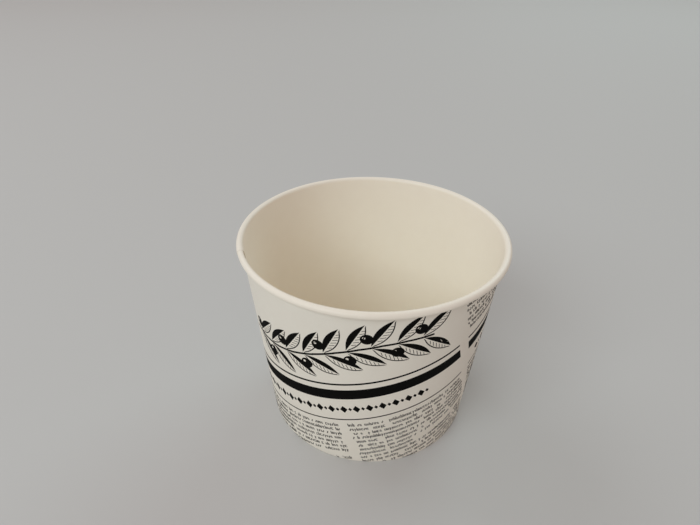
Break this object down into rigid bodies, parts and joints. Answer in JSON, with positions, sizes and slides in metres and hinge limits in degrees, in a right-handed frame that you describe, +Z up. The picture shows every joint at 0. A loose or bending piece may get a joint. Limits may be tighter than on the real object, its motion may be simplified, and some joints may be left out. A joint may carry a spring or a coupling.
{
  "type": "paper bowl",
  "caption": "Round tapered paper food bowl with a rolled rim, a recessed bottom disc and a newspaper-style black print.",
  "frame": {"origin": "centre of the foot, on the plane that the bowl stands on", "axes": "+Z up along the bowl's axis; -Y towards the front of the printed page"},
  "size_m": [0.115, 0.115, 0.091],
  "materials": {
    "coated_board": "film-coated, semi-matt, uncoated white outside",
    "disc_board": "film-coated, semi-matt",
    "black_ink": "matt flexographic ink"
  },
  "bodies": {
    "root": {"side_wall": "coated_board", "base_disc": "disc_board", "newsprint": "black_ink"}
  },
  "joints": []
}
